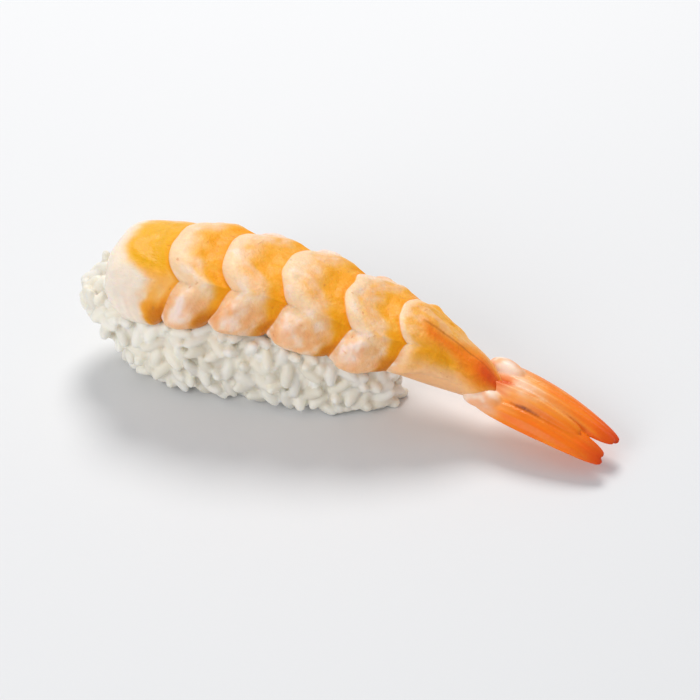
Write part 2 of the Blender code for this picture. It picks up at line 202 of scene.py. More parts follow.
def loaf(x, angle, half_width, height, scale):
    """Points of a loaf-shaped section at x, scaled about its waist and cut off by the floor."""
    waist = BED_WAIST * height
    y = scale * half_width * signed_power(np.sin(angle), 2 / BED_ROUNDNESS)
    over = (height - waist) * signed_power(np.cos(angle), 2 / BED_ROUNDNESS)
    under = along(BASE_DEPTH, x) * waist * signed_power(np.cos(angle), 2 / BASE_ROUNDNESS)
    z = waist + np.where(np.cos(angle) > 0, scale * over, scale**END_UNDERCUT * under)
    z = np.maximum(z, 0)
    lean = HEAD_STEP * (1 - ease(*STEP_HEIGHT, z)) - HEAD_LEAN * np.maximum(z - waist, 0)
    lean = lean * (1 - ease(RICE_START, RICE_START + HEAD_FADE, x))
    return np.stack([x + lean, y + along(SWAY, x), z], axis=-1)


def rice_surface(x, angle, inset=GAP):
    """The bare rice, rounded off at both ends."""
    half_width, height = along(BED_HALF_WIDTH, x) - inset, along(BED_HEIGHT, x) - inset
    return loaf(x, angle, half_width, height, end_rounding(x, RICE_START, RICE_END))


def bed(x, angle):
    """The surface under the shrimp. It rounds off at the head end only."""
    middle = (RICE_START + RICE_END) / 2
    scale = end_rounding(np.minimum(x, middle), RICE_START - GAP, RICE_END + GAP)
    return loaf(x, angle, along(BED_HALF_WIDTH, x), along(BED_HEIGHT, x), scale)


def normals(surface, u, v, step_u, step_v):
    """Unit normals of surface(u, v)."""
    du = surface(u + step_u, v) - surface(u - step_u, v)
    dv = surface(u, v + step_v) - surface(u, v - step_v)
    n = np.cross(du, dv)
    return n / np.maximum(np.linalg.norm(n, axis=-1, keepdims=True), 1e-9)


def bow(q, c):
    """How far back the joints lie at c, which is 0 on the back and -1 or 1 at the lower edges."""
    side = np.abs(c)
    back_lobe = NOTCH_BACK * np.minimum(side / NOTCH_SIDE, 1) ** 2.8
    down = np.clip((side - NOTCH_SIDE) / (1 - NOTCH_SIDE), 0, 1)
    side_lobe = NOTCH_BACK * down**0.7
    fade = ease(FLESH_START, JOINTS[0], q) * (1 - ease(JOINTS[-1] + 2, FAN_START - 2, q))
    return (back_lobe - side_lobe) * fade


def smooth_flesh(q, c, outside):
    """The flesh without its segment relief. q runs along the back and outside is 1 or 0."""
    corners = CUT_CORNERS * c**4 * (1 - ease(FLESH_START, FLESH_START + 3 * CUT_CORNERS, q))
    wander = WOBBLE * lattice_noise(flat_points(q * WOBBLE_RATE, c), WOBBLE_SIZE, 43)
    wander = wander * ease(FLESH_START, JOINTS[0], q) * (1 - ease(JOINTS[-1], FAN_START - 4, q))
    x = q + bow(q, c) + corners + wander
    angle = c * np.radians(along(FLESH_COVER, x) + hem(q, c))
    lip = (1 - SIDE_THINNING * c**2) * np.sqrt(np.maximum(1 - np.abs(c) ** 8, 0))
    from_cut = np.clip(1 - (q - FLESH_START) / CUT_ROUNDING, 0, 1)
    cut = 0.12 + 0.88 * np.sqrt(1 - from_cut**2.5)
    thickness = outside * along(FLESH_THICKNESS, x) * lip * cut
    sheet = bed(x, angle) + normals(bed, x, angle, 0.05, 0.01) * thickness[..., None]
    top, bottom = along(TUBE_TOP, x), along(TUBE_BOTTOM, x)
    rise = np.cos(c * math.pi / 2) * (top - bottom) / 2
    y = along(TUBE_HALF_WIDTH, x) * np.sin(c * math.pi / 2) + along(SWAY, x)
    tube = np.stack([x, y, (top + bottom) / 2 + np.where(outside > 0, rise, -rise)], axis=-1)
    closed = ease(*CLOSING, x)[..., None]
    return (1 - closed) * sheet + closed * tube


# Noise.
def lattice_noise(points, size, seed):
    """Smooth random values from -1 to 1 at points, with lumps of about this size."""
    count = 48
    table = np.random.default_rng(seed).uniform(-1, 1, (count, count, count))
    scaled = np.asarray(points, float) / size
    low = np.floor(scaled).astype(int)
    t = scaled - low
    t = t * t * (3 - 2 * t)
    total = np.zeros(scaled.shape[:-1])
    for corner in itertools.product((0, 1), repeat=3):
        weight = np.ones_like(total)
        for axis in range(3):
            weight = weight * (t[..., axis] if corner[axis] else 1 - t[..., axis])
        i, j, k = ((low[..., axis] + corner[axis]) % count for axis in range(3))
        total += weight * table[i, j, k]
    return total


def layered_noise(points, size, seed, layers=3):
    """Lumps of this size with finer and weaker ones on top."""
    return sum(lattice_noise(points, size / 2**i, seed + i) / 2**i for i in range(layers))


def flat_points(q, c):
    """Points of the flesh laid out flat, for noise that follows it."""
    q, c = np.broadcast_arrays(q, c)
    return np.stack([q + 60.0, c * SIDE_LENGTH + 40.0, 0 * q + 7.0], axis=-1)


# The flesh in detail. Lengths are in millimetres and sides are shares of the cover.
FRONTS = np.array([FLESH_START, *JOINTS])
ENDS = np.array([*JOINTS, FAN_START])
SIDE_LENGTH = 16.0  # from the back to a lower edge
WOBBLE = 0.65  # how far the joints stray from their even outline
WOBBLE_SIZE = 3.2  # size of those bends down the sides
WOBBLE_RATE = 0.35  # how fast they change along the shrimp, as a share of that down the sides
HEM_LOBES = 8.0  # degrees that the middle of a segment's lower edge hangs down
HEM_WAVES, HEM_WAVE_SIZE = 1.6, 5.0  # degrees by which that is uneven, and size of the waves
HEM_LEVEL = 0.75  # share of the lobes that lies over the even edge
CREST = 0.46  # side where the back lobe ends
CREST_DRIFT = 0.02  # how far that line moves down for each millimetre behind the joint
CREASE_DEPTH, CREASE_WIDTH = 0.4, 0.08  # crease between back lobe and side lobe
CREASE_FADE = (0.05, 0.4)  # share of a segment over which it fades out
LOBE_ROUNDING = 2.6  # width of the rounded front of a lobe
LOBE_CURL = 1.4  # how much faster a lobe closes below the crest than above it
LOBE_OPENING = 0.42  # how far its lower outline moves away for each millimetre behind the joint
LOBE_SCALE = 1.35
LOW_SIDES = (0.46, 0.6)  # below these sides the front is soft
LOW_PUFF = 0.9  # swelling of a side lobe
# Soft forms: height or depth, then (middle, width) as shares of the segment and of the side.
PUFF, PUFF_ALONG, PUFF_ACROSS = 0.65, (0.58, 0.26), (0.5, 0.14)  # swelling behind the crease
SADDLE, SADDLE_ALONG, SADDLE_ACROSS = 0.4, (0.72, 0.22), (0, 0.25)  # hollow of the back before a joint
RIM_ROLL, RIM_PLACE = 0.15, (1.5, 1.0)  # rolled rim, with its place in millimetres behind the outline
HEM_FADE = (0.86, 1.0)  # the relief fades out between these sides
LUMPS, LOW_LUMPS, LUMP_SIZE = 0.16, 0.14, 3.4  # heights on the back, and how much more on the side lobes
PIMPLES, PIMPLE_SIZE = 0.05, 0.9


def segment_of(q):
    return np.clip(np.searchsorted(FRONTS, q, side="right") - 1, 0, len(FRONTS) - 1)


def hem(q, c):
    """Degrees by which the lower edge hangs lower in the middle of each segment."""
    i = segment_of(q)
    t = np.clip((q - FRONTS[i]) / (ENDS[i] - FRONTS[i]), 0, 1)
    lobes = np.sin(math.pi * np.clip(t * 1.05, 0, 1)) ** 0.6 - HEM_LEVEL
    fade = ease(FLESH_START, JOINTS[0], q) * (1 - ease(JOINTS[-1] + 2, FAN_START - 6, q))
    wave = lattice_noise(flat_points(q, np.sign(c) * 1.0), HEM_WAVE_SIZE, 71)
    return (HEM_LOBES * lobes + HEM_WAVES * wave) * fade * np.abs(c) ** 4


def lobe_depth(q, c):
    """Millimetres from a lobe's front outline, which curls round at the lobe's lower end."""
    i = segment_of(q)
    from_front = q - FRONTS[i]
    side = np.abs(c) - CREST_DRIFT * from_front
    to_crest = np.where(side < CREST, CREST - side, (side - CREST) * LOBE_CURL)
    to_crest = to_crest * SIDE_LENGTH + LOBE_OPENING * from_front
    return from_front * to_crest / np.maximum(from_front + to_crest, 1e-6) * LOBE_SCALE


def spot(*terms):
    """1 in the middle of a soft spot and 0 far from it. Each term is (value, (middle, width))."""
    return np.exp(-sum(((value - middle) / width) ** 2 for value, (middle, width) in terms))


def relief(q, c):
    """Height of the segments over the smooth flesh."""
    i = segment_of(q)
    last = i == len(FRONTS) - 1
    body = (i > 0) * (1 - last)
    side = np.abs(c)
    t = np.clip((q - FRONTS[i]) / (ENDS[i] - FRONTS[i]), 0, 1)
    depth = np.where(last, q - FRONTS[i], lobe_depth(q, c))
    on_back = ease(*SOFT_FROM, c) * (1 - ease(*SOFT_TO, c))
    short = 1 - np.clip(depth / (LOBE_ROUNDING * (1 + 0.7 * on_back)), 0, 1)
    round_rise, soft_rise = np.sqrt(1 - short**2), 1 - ease(0, 1, short)
    low = ease(*LOW_SIDES, side)
    rise = np.where(i == 0, HEAD_RISE, round_rise * (1 - low) + soft_rise * low)
    fall = np.where(last, 1 - 0.8 * ease(0.1, 0.8, t), 1 - ease(*REAR_FALL, t))
    crown = 1 - BACK_SOFTNESS * on_back
    crease_side = CREST + CREST_DRIFT * (q - FRONTS[i])
    crease = spot((side, (crease_side, CREASE_WIDTH))) * (1 - ease(*CREASE_FADE, t))
    crease = crease * (1 - ease(*NOTCH_FADE, q)) * (i > 0)
    puff = PUFF * spot((t, PUFF_ALONG), (side, PUFF_ACROSS)) * body
    roll = RIM_ROLL * spot((depth, RIM_PLACE)) * body
    saddle = SADDLE * spot((t, SADDLE_ALONG), (side, SADDLE_ACROSS)) * (1 - last)
    down = np.clip((side - crease_side) / (1 - crease_side), 0, 1)
    pillow = np.sin(math.pi * down) ** 1.2 - 0.3 * ease(0.3, 1.0, down)
    low_puff = LOW_PUFF * pillow * rise * (1 - ease(*DOME_FALL, t)) * body
    lower_edge = 1 - ease(*HEM_FADE, side)
    height = (SEGMENT_RELIEF * crown * rise * fall - CREASE_DEPTH * crease) * lower_edge
    height = height + (puff + roll - saddle) * lower_edge + low_puff
    flat = flat_points(q, c)
    lumps = (LUMPS + LOW_LUMPS * low) * layered_noise(flat, LUMP_SIZE, 31, 2)
    lumps = lumps + PIMPLES * lattice_noise(flat, PIMPLE_SIZE, 37)
    return (height + lumps * lower_edge) * (1 - ease(FAN_START - 4, FAN_START, q))


def flesh(q, c, outside):
    smooth = smooth_flesh(q, c, outside)
    n = normals(lambda a, b: smooth_flesh(a, b, outside), q, c, 0.05, 0.004)
    return smooth + n * (outside * relief(q, c))[..., None]


# Colours of the flesh.
def mix(first, second, share):
    share = np.clip(np.asarray(share, float), 0, 1)[..., None]
    return np.asarray(first, float) * (1 - share) + np.asarray(second, float) * share


# The orange before the joints, by side: how far it reaches forward, in millimetres, and its strength.
SADDLE_REACH = [(0, 5.4), (0.15, 6.2), (0.29, 3.6), (0.44, 4.6), (0.56, 3.0), (0.75, 1.7), (1, 1.9)]
SADDLE_STRENGTH = [(0, 0.9), (0.15, 1.0), (0.29, 0.65), (0.44, 1.15), (0.56, 1.0), (1, 0.9)]
HEAD_PATCH_REACH = [(0, 6.9), (0.28, 6.7), (0.4, 4.9), (0.52, 4.0), (0.8, 3.8), (1, 3.6)]
HEAD_PATCH_STRENGTH = [(0, 1.0), (0.3, 1.0), (0.42, 0.45), (0.62, 0.4), (0.8, 0.85), (1, 1.0)]
# Soft spots, as (middle, width): millimetres behind the front, or side.
# The first pair places the painted highlight on each side lobe.
HIGHLIGHT_ALONG, HIGHLIGHT_ACROSS = (2.9, 1.5), (0.71, 0.11)
FLANK_ACROSS = (0.52, 0.18)
STREAK_SIDE = -0.2


def flesh_marks(q, c):
    """What the colours at (q, c) follow: noise, and the distances from the borders of a segment."""
    flat = flat_points(q, c)
    i = segment_of(q)
    warp, other, blotch = (layered_noise(flat, *kind) for kind in ((3.0, 11), (4.5, 17), (1.7, 23)))
    side = np.abs(c) + 0.025 * other
    from_front = q - FRONTS[i]
    crest = CREST + CREST_DRIFT * from_front + 0.03 * warp
    is_head = i == 0
    return SimpleNamespace(
        q=q, c=c, flat=flat, warp=warp, other=other, blotch=blotch, side=side, from_front=from_front,
        to_end=ENDS[i] - q + 0.8 * warp,
        back=1 - ease(crest - 0.06, crest + 0.16, side),
        rim=1 - ease(1.7, 3.6, lobe_depth(q, c) + 0.45 * other),
        is_head=is_head,
        reach=np.where(is_head, along(HEAD_PATCH_REACH, side), along(SADDLE_REACH, side)),
    )


def lobe_colour(at):
    """Peach on the back and pinkish white below, with a cream rim along the front of each lobe."""
    colour = mix(PINK_WHITE, PEACH, 0.9 * at.back + 0.45 * ease(1.5, 6, at.from_front) * (1 - at.back))
    colour = mix(colour, CREAM, at.rim * (0.25 + 0.75 * at.back))
    mottle = at.blotch + 0.45 * layered_noise(at.flat, 0.8, 29, 2)
    colour = mix(colour, BLUSH, ease(-0.2, 0.9, mottle) * (0.35 + 0.35 * at.rim + 0.3 * (1 - at.back)))
    colour = mix(colour, LOW_PEACH, ease(-0.1, 0.9, -mottle) * 0.65 * (1 - at.back))
    colour = mix(colour, BLUSH, 0.4 * ease(0.8, 1.0, at.side))
    return mix(colour, ORANGE, 0.3 * ease(0.15, 0.8, -at.blotch) * at.back * (1 - at.rim))


def joint_colour(colour, at):
    """Adds the orange before each joint, a line along it, and the marks of the side lobes: a painted
    highlight near the front of each and a darker orange at its rear.
    """
    saddle = 1 - ease(np.where(at.is_head, 0.6, 0.35) * at.reach, at.reach, at.to_end)
    head_strength = along(HEAD_PATCH_STRENGTH, at.side) - 0.5 * ease(0.02, 0.22, at.c)
    strength = np.where(at.is_head, head_strength, along(SADDLE_STRENGTH, at.side))
    saddle = saddle * strength * (1 - 0.85 * at.rim * ~at.is_head)
    saddle = saddle * (0.9 + 0.25 * at.other)
    colour = mix(colour, mix(ORANGE, GOLD, at.is_head * (1 - ease(0.3, 0.5, at.side))), saddle)
    line = 1 - ease(0.15, 0.9, at.to_end - 0.5 * at.warp)
    colour = mix(colour, DEEP, (0.2 + 0.3 * ease(0.05, 0.35, at.side)) * line)
    colour = mix(colour, BROWN, 0.8 * line * ease(0.72, 0.96, at.side))
    # Painted highlight: a pale spot on the upper front of each side lobe.
    patch = spot((at.from_front, HIGHLIGHT_ALONG), (at.side, HIGHLIGHT_ACROSS)) * ~at.is_head
    colour = mix(colour, PAINTED_HIGHLIGHT, (0.6 + 0.5 * at.blotch) * patch)
    pool = (1 - ease(1.3, 3.6, at.to_end)) * ease(0.62, 0.84, at.side)
    return mix(colour, POOL, (0.95 + 0.2 * at.other) * pool)


def head_colour(colour, at):
    """Adds the white of the head end, all round the orange patch before the first joint."""
    cut = 1 - ease(1.6, 3.4, at.from_front + 0.8 * at.warp - 1.2 * ease(0.3, 0.8, at.side))
    patch = 1 - ease(np.where(at.is_head, 0.75, 1) * at.reach, 1.15 * at.reach, at.to_end)
    return mix(colour, HEAD_WHITE, np.where(at.is_head, np.maximum(cut, (1 - patch) * 0.9), 0))


def last_colour(at):
    """The last segment: an orange flank, a pale lower edge that is partly painted light, and a streak
    with a dark vein to the fan.
    """
    q, c = at.q, at.c
    colour = mix(PEACH, CREAM, 0.8 * (1 - ease(0.8, 2.4, at.from_front + 0.7 * at.other)))
    colour = mix(colour, ORANGE, 0.35 * ease(0, 0.8, at.blotch))
    flank = spot((at.side, FLANK_ACROSS)) * ease(1.0, 3.5, at.from_front) * (1 - ease(16, 22, q))
    colour = mix(colour, ORANGE, flank * (0.8 + 0.4 * at.other))
    # The pale lower edge is partly its own colour and partly painted light that brightens the down-facing
    # lower flank.
    colour = mix(colour, PALE_EDGE_AND_PAINTED_LIGHT, 0.85 * ease(0.64, 0.86, at.side))
    into = ease(JOINTS[-1] + 2.2, JOINTS[-1] + 5.5, q + 1.2 * at.warp)
    streak_width = 0.16 + 0.45 * ease(FAN_START - 7, FAN_START, q)
    colour = mix(colour, STREAK, spot((c, (STREAK_SIDE, streak_width))) * into)
    from_vein = c + 0.06 - 0.06 * ease(12, FAN_START, q)
    colour = mix(colour, BROWN, 0.6 * (spot((from_vein, (0, 0.024))) * into))
    hinge = spot((c, (STREAK_SIDE, 0.3))) * ease(FAN_START - 2.5, FAN_START + 0.5, q)
    return mix(colour, HINGE_RED, hinge)


def flesh_colour(q, c):
    """How the flesh looks at (q, c), from 0 to 255."""
    at = flesh_marks(q, c)
    colour = head_colour(joint_colour(lobe_colour(at), at), at)
    colour = mix(colour, last_colour(at), ease(JOINTS[-1], JOINTS[-1] + 1.2, q))
    colour = mix(colour, TAIL_BASE, 0.5 * ease(FAN_START, FLESH_END, q) * ease(0.3, 0.6, at.side))
    specks = ease(0.76, 0.88, lattice_noise(at.flat, 0.62, 67))
    specks = specks * ease(FLESH_START + 4, FLESH_START + 8, q)
    colour = mix(colour, SPECK, 0.45 * specks)
    fibres = lattice_noise(at.flat * np.array([2.2, 0.5, 1.0]), 1.0, 53)
    speckle = lattice_noise(at.flat, 0.45, 59)
    return colour * (1 + 0.018 * fibres + 0.014 * speckle)[..., None]


def linear(colour):
    """Light values from 0 to 1 for a colour given as it looks, from 0 to 255."""
    value = np.clip(np.asarray(colour, float) / 255, 0, 1)
    return np.where(value <= 0.04045, value / 12.92, ((value + 0.055) / 1.055) ** 2.4)


# Objects.
def new_piece(name, points, faces, colours, material, slot_name, node=None):
    """A smooth-shaded piece in metres that rides on the root body."""
    mesh = bpy.data.meshes.new(name)
    mesh.from_pydata((np.asarray(points) * MM).tolist(), [], faces)
    mesh.validate()
    tint = mesh.color_attributes.new("tint", "FLOAT_COLOR", "POINT")
    values = np.ones((len(mesh.vertices), 4), np.float32)
    values[:, :3] = linear(colours)
    tint.data.foreach_set("color", values.ravel())
    mesh.materials.append(material)
    mesh.shade_smooth()
    piece = bpy.data.objects.new(name, mesh)
    bpy.context.scene.collection.objects.link(piece)
    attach(piece, "root")
    if node:
        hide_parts(node)
    return piece


def ring_angles(rings, segments):
    """Angles of the rings between the two ends of a closed shape, and the angles round them."""
    polar = np.linspace(0, math.pi, rings + 1)[1:-1]
    turn = np.linspace(0, 2 * math.pi, segments, endpoint=False)
    return np.meshgrid(polar, turn, indexing="ij")


def ring_faces(rows, count):
    """Faces of rings of points that are followed by the low end's point and the high end's."""
    faces = []
    for row in range(rows - 1):
        for k in range(count):
            j = (k + 1) % count
            faces.append([row * count + k, row * count + j, (row + 1) * count + j, (row + 1) * count + k])
    for k in range(count):
        j = (k + 1) % count
        faces.append([j, k, rows * count])
        faces.append([(rows - 1) * count + k, (rows - 1) * count + j, rows * count + 1])
    return faces


def flesh_grid():
    """Points, faces and colours of the flesh: over the outside from edge to edge, then back inside."""
    turn = np.linspace(0, math.pi, FLESH_COLUMNS + 1)
    across = 0.35 * np.cos(turn) + 0.65 * np.linspace(1, -1, FLESH_COLUMNS + 1)
    inside = np.linspace(-1, 1, UNDERSIDE_COLUMNS + 1)[1:-1]
    q = np.linspace(FLESH_START, FLESH_END, FLESH_RINGS)
    q_out, c_out = np.meshgrid(q, across, indexing="ij")
    q_in, c_in = np.meshgrid(q, inside, indexing="ij")
    outer = flesh(q_out, c_out, np.ones_like(q_out))
    inner = flesh(q_in, c_in, np.zeros_like(q_in))
    points = np.concatenate([outer, inner], axis=1)
    inner_colour = mix(np.broadcast_to(PINK_WHITE, inner.shape), PEACH, 0.3 + 0 * q_in)
    colours = np.concatenate([flesh_colour(q_out, c_out), inner_colour], axis=1)
    rings, count = points.shape[:2]
    ring, place = np.meshgrid(np.arange(rings - 1), np.arange(count), indexing="ij")
    following = (place + 1) % count
    corners = [ring * count + place, ring * count + following]
    corners += [(ring + 1) * count + following, (ring + 1) * count + place]
    faces = np.stack(corners, axis=-1).reshape(-1, 4).tolist()
    for first, step in ((0, 1), ((rings - 1) * count, -1)):
        faces.append([first + k for k in range(count)][::-step])
    return points.reshape(-1, 3), faces, colours.reshape(-1, 3)


def fan_axes():
    """Rotation of the tail fan: along to the tip, across, and up."""
    forward = (FAN_TIP - FAN_ROOT).normalized()
    level = Vector((0, 0, 1)).cross(forward).normalized()
    across = Matrix.Rotation(math.radians(FAN_ROLL), 3, forward) @ level
    return np.array(Matrix((forward, across, forward.cross(across))).transposed())


# Fine forms of the fan, in millimetres.
BLADE_TAPER = (1.12, 0.4)
TELSON_ROOT = 0.35  # width of the telson's root, as a share of its own outline
TELSON_DROP = 0.7  # how far that root lies lower
VEIN_HEIGHT, VEIN_RATE = 0.05, 15
MIDRIB_HEIGHT, MIDRIB_WIDTH = 0.22, 0.13
KNOB_LUMPS, BLADE_LUMPS = 0.12, 0.04


def blade_grid(shape, side, roof, kind):
    """Points, faces and colours of a pointed leaf, ridged along its middle."""
    start, across, lift, length, width, thickness, splay = shape
    polar, turn = ring_angles(BLADE_RINGS, BLADE_SEGMENTS)
    reach = np.append(-np.cos(polar).ravel(), [-1, 1])
    unit = np.append((np.sin(polar) * np.cos(turn)).ravel(), [0, 0])
    height = np.append((np.sin(polar) * np.sin(turn)).ravel(), [0, 0])
    t = (reach + 1) / 2
    blunt = np.maximum(1 - reach**2, 1e-6) ** -BLADE_BLUNTNESS
    if kind == "telson":
        blunt = blunt * (TELSON_ROOT + (1 - TELSON_ROOT) * ease(0.05, 0.5, t))
    sideways = unit * blunt * width / 2 * (BLADE_TAPER[0] - BLADE_TAPER[1] * t)
    share = 2 * sideways / width
    height = height * thickness / 2 - roof * share**2
    if kind != "knob":
        upper = ease(-0.1, 0.4, height / thickness + roof * share**2 / thickness)
        veins = np.cos(share * VEIN_RATE + 0.6 * np.sin(3 * t)) * VEIN_HEIGHT
        midrib = MIDRIB_HEIGHT * spot((share, (0, MIDRIB_WIDTH)))
        height = height + upper * (veins + midrib) * ease(0.05, 0.3, t) * (1 - ease(0.85, 1, t))
    local = np.stack([t * length, sideways, height], axis=-1)
    turned = math.radians(splay * side)
    cosine, sine = math.cos(turned), math.sin(turned)
    spin = np.array([[cosine, -sine, 0], [sine, cosine, 0], [0, 0, 1]])
    local = local @ spin.T + np.array([start, across * side, lift])
    reached = np.clip(local[:, 0] / FAN_LENGTH, 0, 1)
    local[:, 2] += FAN_ARCH * 4 * reached * (1 - reached)
    if kind == "telson":
        local[:, 2] -= TELSON_DROP * (1 - ease(0.3, 0.6, t))
    lumps = KNOB_LUMPS if kind == "knob" else BLADE_LUMPS
    local[:, 2] += lattice_noise(local + 50, 2.2, 83) * lumps
    points = np.array(FAN_ROOT) + local @ fan_axes().T
    return points, ring_faces(*polar.shape), blade_colour(t, unit, local, kind)


def tail_fan_grid():
    """Points, faces and colours of the telson, the blades and their knobs, grown together."""
    parts = [blade_grid(TELSON, 1, BLADE_ROOF, "telson")]
    for side in (1, -1):
        parts.append(blade_grid(INNER_BLADE, side, BLADE_ROOF, "blade"))
        parts.append(blade_grid(OUTER_BLADE, side, BLADE_ROOF, "blade"))
        parts.append(blade_grid(KNOB, side, KNOB_ROOF, "knob"))
    points, faces, colours, first = [], [], [], 0
    for part_points, part_faces, part_colours in parts:
        points.append(part_points)
        colours.append(part_colours)
        faces += [[first + k for k in face] for face in part_faces]
        first += len(part_points)
    loose, tints = np.concatenate(points), np.concatenate(colours)
    points, faces = stuck(loose, faces, FAN_STEP, FAN_SOFTENING)
    tree = KDTree(len(loose))
    for number, point in enumerate(loose):
        tree.insert(point, number)
    tree.balance()
    nearest = np.array([tree.find(point)[1] for point in points])
    return points, faces, blended(tints[nearest], faces, FAN_BLENDING)


def blended(colours, faces, times):
    """Colours evened out over the neighbouring points."""
    quads = np.array([face for face in faces if len(face) == 4])
    pairs = np.concatenate([quads[:, [k, (k + 1) % 4]] for k in range(4)])
    for _ in range(times):
        total, count = colours.copy(), np.ones(len(colours))
        for one, other in (pairs.T, pairs.T[::-1]):
            for channel in range(3):
                total[:, channel] += np.bincount(one, colours[other, channel], len(colours))
            count += np.bincount(one, minlength=len(colours))
        colours = total / count[:, None]
    return colours


# Soft spots of the fan, as (middle, width) in millimetres: from its root, or across it.
PALE_ALONG, PALE_ACROSS = (7.5, 6.0), (0.7, 2.8)
GOLD_ALONG, GOLD_ACROSS = (15.5, 4.5), (0.2, 1.5)
HINGE_ACROSS = (0, 1.7)


def blade_colour(t, share, local, kind):
    """How the fan looks, from 0 to 255: one plan over all of it, then what a knob or the telson adds."""
    noise = layered_noise(local * np.array([0.4, 1.4, 1.0]) + 50, 2.0, 91, 3)
    blotch = layered_noise(local * np.array([0.7, 1.2, 1.0]) + 50, 1.3, 107, 3)
    threads = lattice_noise(local * np.array([0.22, 3.0, 1.0]) + 50, 1.0, 101)
    reached = local[:, 0] + 1.2 * noise
    across = local[:, 1] + 0.4 * noise
    colour = mix(TAIL_ORANGE, TAIL_TIP, ease(18, 29, reached) ** 1.2)
    colour = mix(colour, TAIL_BASE, 0.85 * (1 - ease(3, 10, reached)))
    pale = spot((reached, PALE_ALONG), (across, PALE_ACROSS))
    colour = mix(colour, PALE_FAN, pale * (1.0 + 0.5 * blotch))
    gold = spot((reached, GOLD_ALONG), (across, GOLD_ACROSS))
    colour = mix(colour, FAN_GOLD, 0.75 * gold)
    colour = mix(colour, HINGE_RED, (1 - ease(4.2, 6.6, reached)) * spot((across, HINGE_ACROSS)))
    if kind == "knob":
        colour = mix(colour, BLUSH, ease(-0.4, 0.5, blotch) * (1 - ease(0.6, 1.0, t)))
    else:
        colour = mix(colour, THREAD_PALE, 0.35 * ease(0.1, 0.8, threads) * (1 - ease(20, 28, reached)))
        colour = mix(colour, HINGE_RED, 0.25 * ease(0.1, 0.8, -threads))
    if kind == "telson":
        # Painted shadow: a dark line along the telson's near edge, where the gap to the near blade lies.
        slit_shadow = ease(0.86, 0.95, -share + 0.05 * blotch) * ease(0.4, 0.46, t) * (1 - ease(0.9, 0.97, t))
        colour = mix(colour, SLIT_SHADOW, slit_shadow)
    return colour * (1 + 0.04 * noise)[..., None]


# Rice.
def grain_shape():
    """A plump grain along X: unit points, and its faces."""
    polar, turn = ring_angles(GRAIN_RINGS, GRAIN_SEGMENTS)
    fat = np.sin(polar) ** GRAIN_PLUMPNESS
    ring = np.stack([-np.cos(polar), fat * np.cos(turn), fat * np.sin(turn)], axis=-1).reshape(-1, 3)
    points = np.concatenate([ring, [[-1, 0, 0], [1, 0, 0]]])
    return points, ring_faces(*polar.shape)


def grain_chain(centre, turn, length, width):
    """Middles of the balls that fill a grain, for the test of how near two grains are."""
    steps = np.linspace(-1, 1, BALLS) * (length - BALL_REACH * width) / 2
    return centre + steps[:, None] * turn[:, 0]


def place_grains(shrimp_tree):
    """[(centre, rotation, length, width, bend)] of grains in layers under the rice's outline."""
    dice = np.random.default_rng(GRAIN_SEED)
    middle, half = (RICE_START + RICE_END) / 2, (RICE_END - RICE_START) / 2
    placed, balls, radii = [], np.zeros((0, 3)), np.zeros(0)
    for depth, nearness, most in GRAIN_LAYERS:
        x = middle + half * 0.999 * np.sin(math.pi / 2 * dice.uniform(-1, 1, GRAIN_TRIES))
        angle = dice.uniform(-1, 1, GRAIN_TRIES) * math.pi
        outward = normals(rice_surface, x, angle, 0.02, 0.01)
        inward = depth + dice.uniform(-LAYER_SPREAD, LAYER_SPREAD, GRAIN_TRIES)
        centres = rice_surface(x, angle) - outward * inward[:, None]
        count = 0
        for centre, normal in zip(centres, outward):
            if count == most:
                break
            length = GRAIN_LENGTH * dice.uniform(*LENGTH_SPREAD)
            width = GRAIN_WIDTH * dice.uniform(*WIDTH_SPREAD)
            spin, tilt = dice.uniform(0, math.pi), math.radians(dice.normal(0, GRAIN_TILT))
            bend = dice.uniform(-GRAIN_BEND, GRAIN_BEND)
            turn = Vector(normal).to_track_quat("Z", "Y").to_matrix()
            turn = turn @ Matrix.Rotation(spin, 3, "Z") @ Matrix.Rotation(tilt, 3, "Y")
            turn = np.array(turn)
            chain = grain_chain(centre, turn, length, width)
            lowest = chain[:, 2].min() - width / 2
            if lowest < -FLOOR_DIP:
                continue
            if len(balls):
                apart = np.linalg.norm(balls[:, None] - chain[None], axis=-1)
                if (apart < nearness * (radii[:, None] + width / 2)).any():
                    continue
            if not all(clear_of(shrimp_tree, ball, width / 2 - SHRIMP_DIP) for ball in chain):
                continue
            placed.append((centre, turn, length, width, bend))
            balls = np.concatenate([balls, chain])
            radii = np.concatenate([radii, np.full(len(chain), width / 2)])
            count += 1
    return placed


def clear_of(tree, point, distance):
    """Whether a point lies outside the shrimp and at least this far from it, in millimetres."""
    nearest, normal, _, apart = tree.find_nearest(Vector(point) * MM)
    return (Vector(point) * MM - nearest).dot(normal) > 0 and apart > distance * MM


def grain_points(unit, dice, centre, turn, length, width, bend):
    """Points of one bent, slightly lumpy grain."""
    local = unit * np.array([length / 2, width / 2, width / 2 * dice.uniform(*THICKNESS_SPREAD)])
    local[:, 1] += bend * (unit[:, 0] ** 2 - 0.4) * 0.5
    lumps = lattice_noise(local + centre + 80, 1.3, 97) * GRAIN_LUMPS
    return local * (1 + lumps)[:, None] @ turn.T + centre


def rice_grid(shrimp_tree):
    """Points, faces and colours of the block, with its grains stuck together where they touch."""
    dice = np.random.default_rng(GRAIN_SEED + 1)
    unit, unit_faces = grain_shape()
    grains = place_grains(shrimp_tree)
    core, faces = core_grid()
    points = [core]
    first = len(core)
    for grain in grains:
        points.append(grain_points(unit, dice, *grain))
        faces += [[first + k for k in face] for face in unit_faces]
        first += len(unit)
    points, faces = stuck(np.concatenate(points), faces, STICKING, SOFTENING)
    points[:, 2] = np.maximum(points[:, 2], FLOOR_GAP)
    return points, faces, grain_colours(points, grains, dice)


